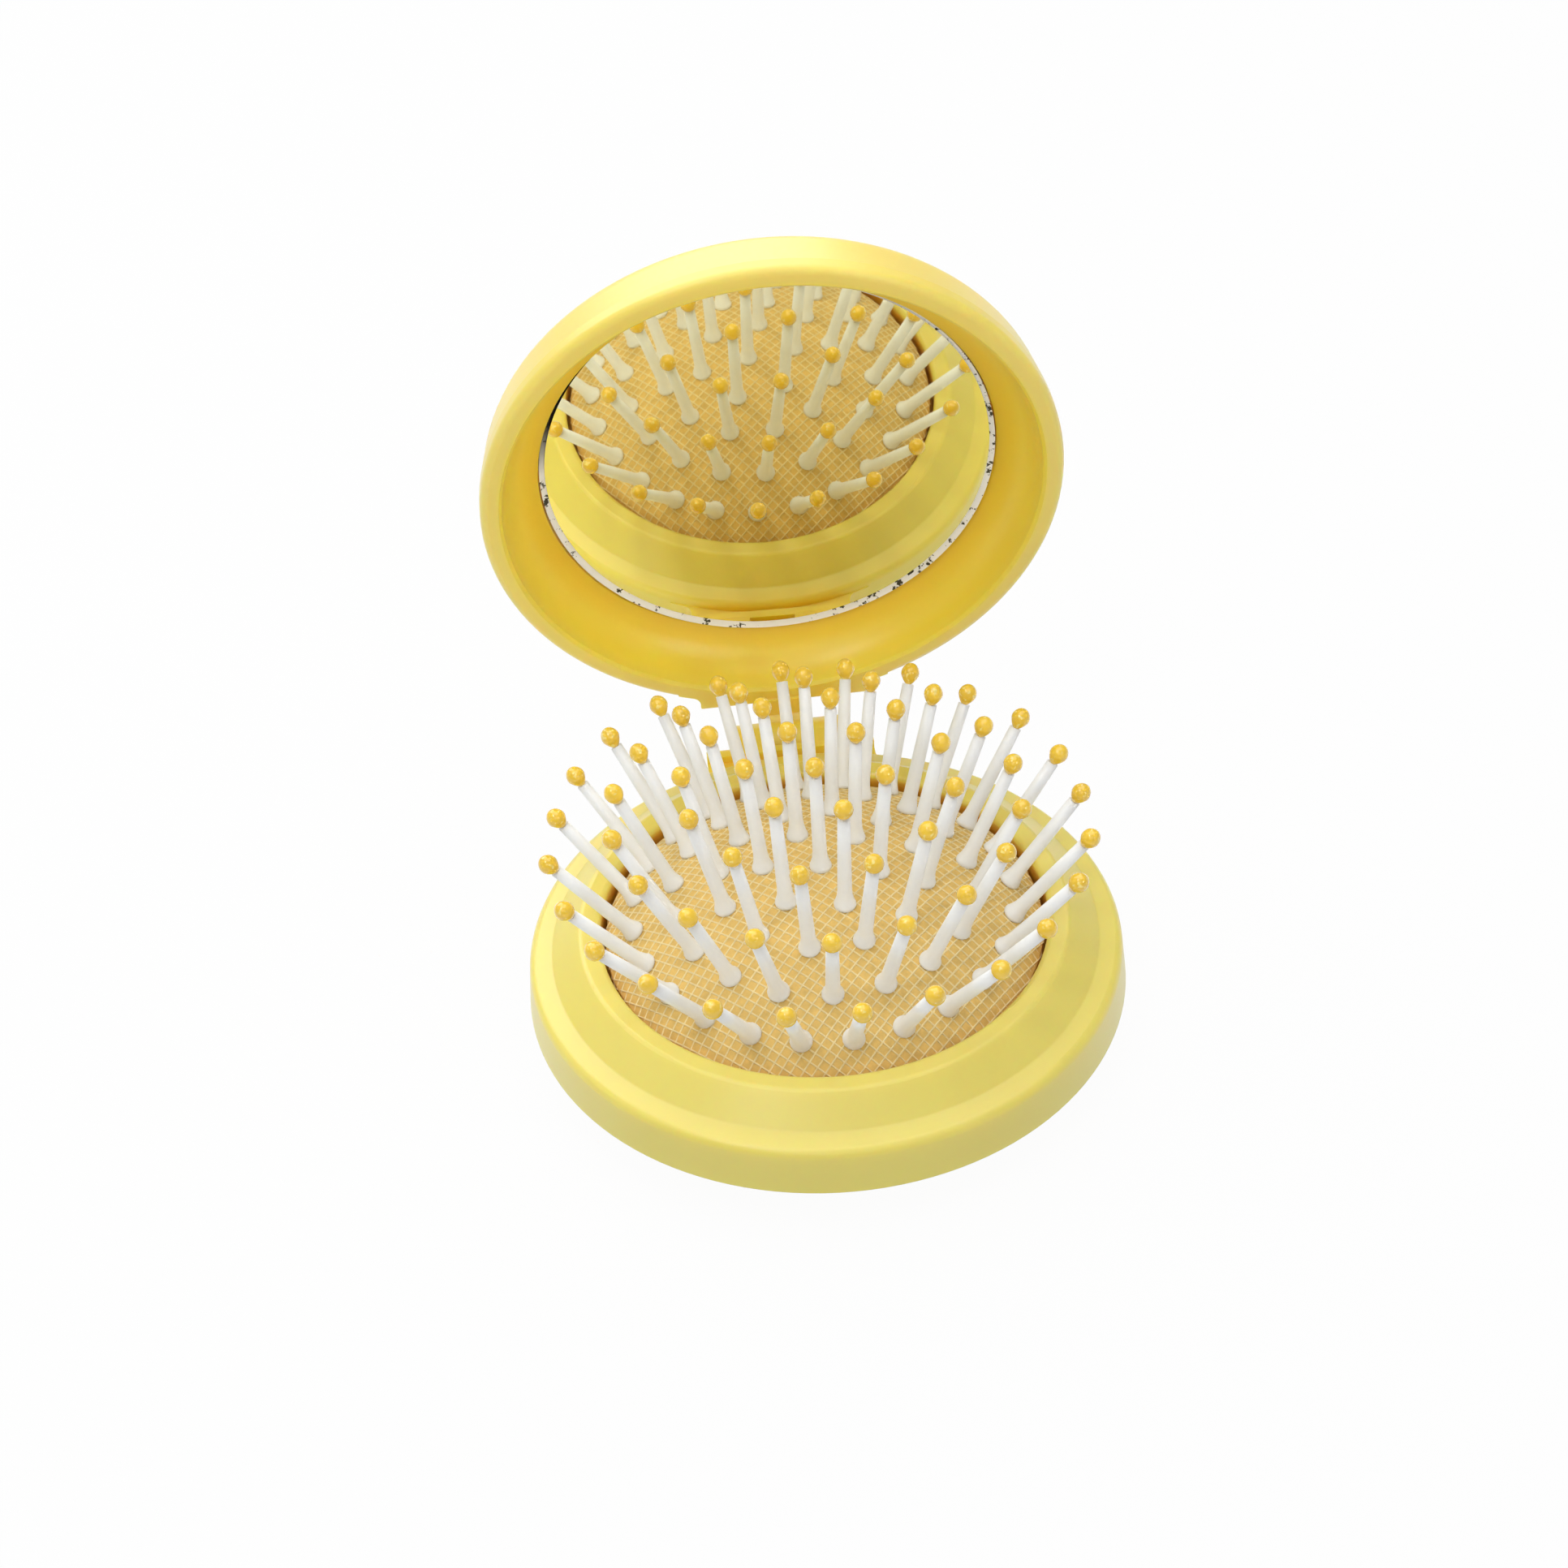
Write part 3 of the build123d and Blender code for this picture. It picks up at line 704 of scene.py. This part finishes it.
def buildMirror(silver, cutGlass):
    outer, inner = lid["mirrorRadius"], lid["mirrorRadius"] - mirror["edgeWidth"]
    face, back = lid["mirrorFace"], lid["mirrorFace"] + lid["mirrorDepth"]
    # from the silvered back down the side, over the cut edge and on to the face
    profile = [(back, outer), (face + mirror["arris"], outer), (face, outer - mirror["arris"]),
               (face + mirror["edgeDepth"], inner + mirror["edgeSlant"]), (face, inner)]
    piece = turnedPiece("mirror_plate", profile, mirror["sides"])
    makeActive(piece)
    dressed(piece, silver)
    piece.data.materials.append(cutGlass)
    for polygon in piece.data.polygons:
        polygon.material_index = 0 if len(polygon.vertices) > 4 else 1
    bpy.ops.object.shade_smooth_by_angle(angle=math.radians(30))
    for vertex in piece.data.vertices:
        if vertex.co.xy.length < outer - mirror["edgeWidth"] / 2:
            vertex.co.y -= mirror["offCentre"]
        if vertex.co.z < back - lid["mirrorDepth"] / 2:
            skewX, skewY = mirror["skew"]
            vertex.co.z += mirror["seat"] + vertex.co.x * skewX + vertex.co.y * skewY
    piece.data.transform(openLid())
    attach(piece, "lid")
    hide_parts("mirror_glass")
    print("faces in the mirror:", len(piece.data.polygons))


# what the brush is dressed in
texture = {
    "grainFiner": 9,              # the grain is this many times finer than the clouds
    "grainDepth": 0.08 * mm,
    "paintedGlintScale": 1700,               # scale of the painted glints on the balls
    "paintedGlintShows": (0.61, 0.72),   # noise over which a painted glint shows
}


def clouded(tree, color, scale, spread):
    cloud = objectNoise(tree, scale, 4, 0.6)
    darker, paler = lighter(color, 1 - spread), lighter(color, 1 + spread)
    return rampOver(tree, cloud.outputs["Fac"], [(0.3, darker), (0.7, paler)]).outputs["Color"]


def speckled(name, color, roughness, scale, spread, bump, settings=None):
    # plain finish with clouds of tone and a fine grain
    material, tree, shader = newMaterial(name, color, roughness, settings)
    tree.links.new(clouded(tree, color, scale, spread), shader.inputs["Base Color"])
    grain = objectNoise(tree, scale * texture["grainFiner"], 3, 0.6)
    addBump(tree, shader, grain.outputs["Fac"], bump, texture["grainDepth"])
    return material


def silveredGlass():
    # mirror coat, a touch uneven
    material, tree, shader = newMaterial("silveredGlass", shade["silver"], 0.02, {"Metallic": 1.0})
    wave = objectNoise(tree, 60, 2)
    dimmer = lighter(shade["silver"], 0.97)
    tint = rampOver(tree, wave.outputs["Fac"], [(0.3, dimmer), (0.7, shade["silver"])])
    tree.links.new(tint.outputs["Color"], shader.inputs["Base Color"])
    return material


def dippedLacquer():
    # thick and glossy, with small painted glints: bright highlight spots in its colour
    gloss = {"Coat Weight": 1.0, "Coat Roughness": 0.03}
    material, tree, shader = newMaterial("goldLacquer", shade["ball"], 0.22, gloss)
    tint = clouded(tree, shade["ball"], 300, 0.10)
    spots = objectNoise(tree, texture["paintedGlintScale"], 1, 0.5)
    paintedGlintShare = shareBetween(tree, spots.outputs["Fac"], *texture["paintedGlintShows"])
    tree.links.new(mixed(tree, paintedGlintShare, tint, shade["paintedGlint"]), shader.inputs["Base Color"])
    addBump(tree, shader, spots.outputs["Fac"], 0.3, texture["grainDepth"])
    return material


def cutEdge():
    # bright worn silver, with painted shade along the upper left where the glass lies deep
    material, tree, shader = newMaterial("cutGlassEdge", shade["edge"], 0.2)
    spots = objectNoise(tree, mirror["flecks"], 3, 0.7)
    place = tree.nodes.new("ShaderNodeTexCoord")
    axes = tree.nodes.new("ShaderNodeSeparateXYZ")
    tree.links.new(place.outputs["Object"], axes.inputs[0])
    sideways = shareBetween(tree, axes.outputs["X"], *mirror["wearAcross"])
    wear = mathNode(tree, "MULTIPLY_ADD", sideways, -mirror["wear"], spots.outputs["Fac"])
    worn = rampOver(tree, wear, [(0.36, shade["fleck"]), (0.40, shade["edge"])])
    slant = mathNode(tree, "SUBTRACT", axes.outputs["Z"], axes.outputs["X"])
    paintedEdgeShadeShare = shareBetween(tree, slant, *mirror["darkFrom"])
    shown = mixed(tree, paintedEdgeShadeShare, worn.outputs["Color"], shade["paintedEdgeShade"])
    tree.links.new(shown, shader.inputs["Base Color"])
    return material


def makeFinishes():
    metal = {"Metallic": 1.0}
    waxy = {"Subsurface Weight": 0.6, "Subsurface Scale": 1.2 * mm, "Subsurface Radius": (1.0, 0.95, 0.9)}
    return {
        "shell": mouldedPlastic("yellowAbs", shade["shell"]),
        "lidShell": mouldedPlastic("lidAbs", shade["shell"], paintLight=paintedLightInLid),
        "baseShell": mouldedPlastic("baseAbs", shade["shell"], paintLight=paintedLightInMouth),
        "inner": mouldedPlastic("innerAbs", shade["innerPlastic"], 0.5),
        "steel": speckled("pinSteel", shade["steel"], 0.3, 900, 0.06, 0.1, metal),
        "foam": speckled("foamTape", shade["tape"], 0.9, 700, 0.05, 0.6),
        "rubber": speckled("tanRubber", shade["rubber"], 0.6, 500, 0.06, 0.2),
        "cloth": speckled("facingCloth", shade["facing"], 0.75, 900, 0.12, 0.5),
        "thread": speckled("goldThread", shade["thread"], 0.65, 1500, 0.10, 0.4),
        "nylon": speckled("whiteNylon", shade["pin"], 0.36, 700, 0.02, 0.15, waxy),
        "lacquer": dippedLacquer(),
        "silver": silveredGlass(),
        "cutGlass": cutEdge(),
    }


def dressNodes(finishes):
    worn = {
        "base_shell": "baseShell", "lid_shell": "lidShell", "back_cover": "shell", "push_button": "shell",
        "button_plate": "inner", "clamp_ring": "inner", "hinge_pin": "steel", "mirror_tape": "foam",
        "mirror_glass": "silver", "cushion_pad": "rubber", "pad_facing": "cloth",
    }
    for node, finish in worn.items():
        dressed(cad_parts[node], finishes[finish])
    print("nodes dressed:", len(worn))


setCamera()
buildStage()
finishes = makeFinishes()
dressNodes(finishes)
buildPins(finishes["nylon"], finishes["lacquer"])
buildPad(finishes["rubber"], finishes["cloth"])
buildNet(finishes["thread"])
buildMirror(finishes["silver"], finishes["cutGlass"])

bpy.context.scene.view_settings.view_transform = "Standard"
